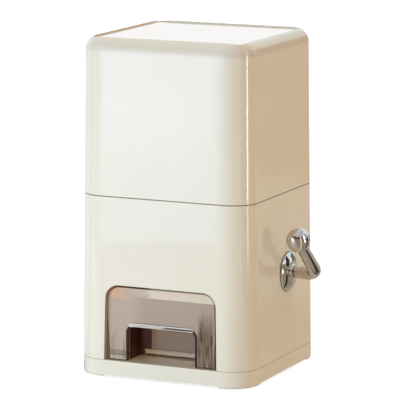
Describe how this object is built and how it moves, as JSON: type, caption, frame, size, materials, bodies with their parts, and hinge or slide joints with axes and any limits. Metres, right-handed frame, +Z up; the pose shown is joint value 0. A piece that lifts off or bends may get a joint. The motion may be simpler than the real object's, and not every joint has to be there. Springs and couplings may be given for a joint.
{
  "type": "rice dispenser with drawer",
  "caption": "Rounded-square countertop rice dispenser: tapered bin with flush lift-off lid, side crank with ball knob turning a metering drum, and a clear drawer with a finger notch.",
  "frame": {"origin": "middle of the body's footprint, on the floor plane that the four foot pads share; the crank stands out to one side of it", "axes": "+Z up, -Y to the drawer front, +X to the side with the crank"},
  "size_m": [0.2736, 0.217, 0.4004],
  "materials": {
    "cream_shell": "glossy ABS",
    "cream_inner": "satin PP",
    "lid_white": "glossy ABS",
    "smoky_clear": "clear smoky polystyrene, polished",
    "chrome": "bright chrome plating",
    "steel": "zinc-plated",
    "shaft_steel": "ground stainless bar",
    "pom_white": "natural acetal",
    "drum_grey": "moulded ABS",
    "silicone": "translucent silicone",
    "pad_rubber": "soft rubber"
  },
  "bodies": {
    "body": {"base_plate": "cream_shell", "foot_pads": "pad_rubber", "base_screws": "steel", "lower_body": "cream_shell", "drawer_bay": "cream_inner", "bay_screws": "steel", "hopper_funnel": "cream_inner", "funnel_seal": "silicone", "bin_screws": "steel", "drum_housing": "cream_inner", "housing_cover": "cream_inner", "cover_screws": "steel", "housing_screws": "steel", "wiper_strip": "silicone", "bush_far": "pom_white", "bush_near": "pom_white", "wall_bush": "pom_white", "crank_rose": "chrome", "rose_nut": "steel", "upper_bin": "cream_shell"},
    "drawer": {"drawer_tray": "smoky_clear"},
    "rotor": {"metering_drum": "drum_grey", "drum_shaft": "shaft_steel", "shaft_clip": "steel", "crank_handle": "chrome", "grub_screw": "steel", "crank_knob": "chrome", "knob_stud": "steel"},
    "lid": {"lid_panel": "lid_white", "lid_gasket": "silicone", "desiccant_cup": "cream_inner"},
    "cap": {"desiccant_cap": "cream_inner"}
  },
  "joints": [
    {"name": "drawer_slide", "type": "slide", "parent": "body", "child": "drawer", "axis": [0, -1, 0], "range_m": [0, 0.15]},
    {"name": "crank_turn", "type": "hinge", "parent": "body", "child": "rotor", "pos_m": [0.1, 0.012, 0.12], "axis": [1, 0, 0], "continuous": true},
    {"name": "lid_lift", "type": "slide", "parent": "body", "child": "lid", "axis": [0, 0, 1], "range_m": [0, 0.12]},
    {"name": "cap_twist", "type": "hinge", "parent": "lid", "child": "cap", "pos_m": [0, 0, 0.38], "axis": [0, 0, 1], "range_deg": [0, 40]}
  ]
}
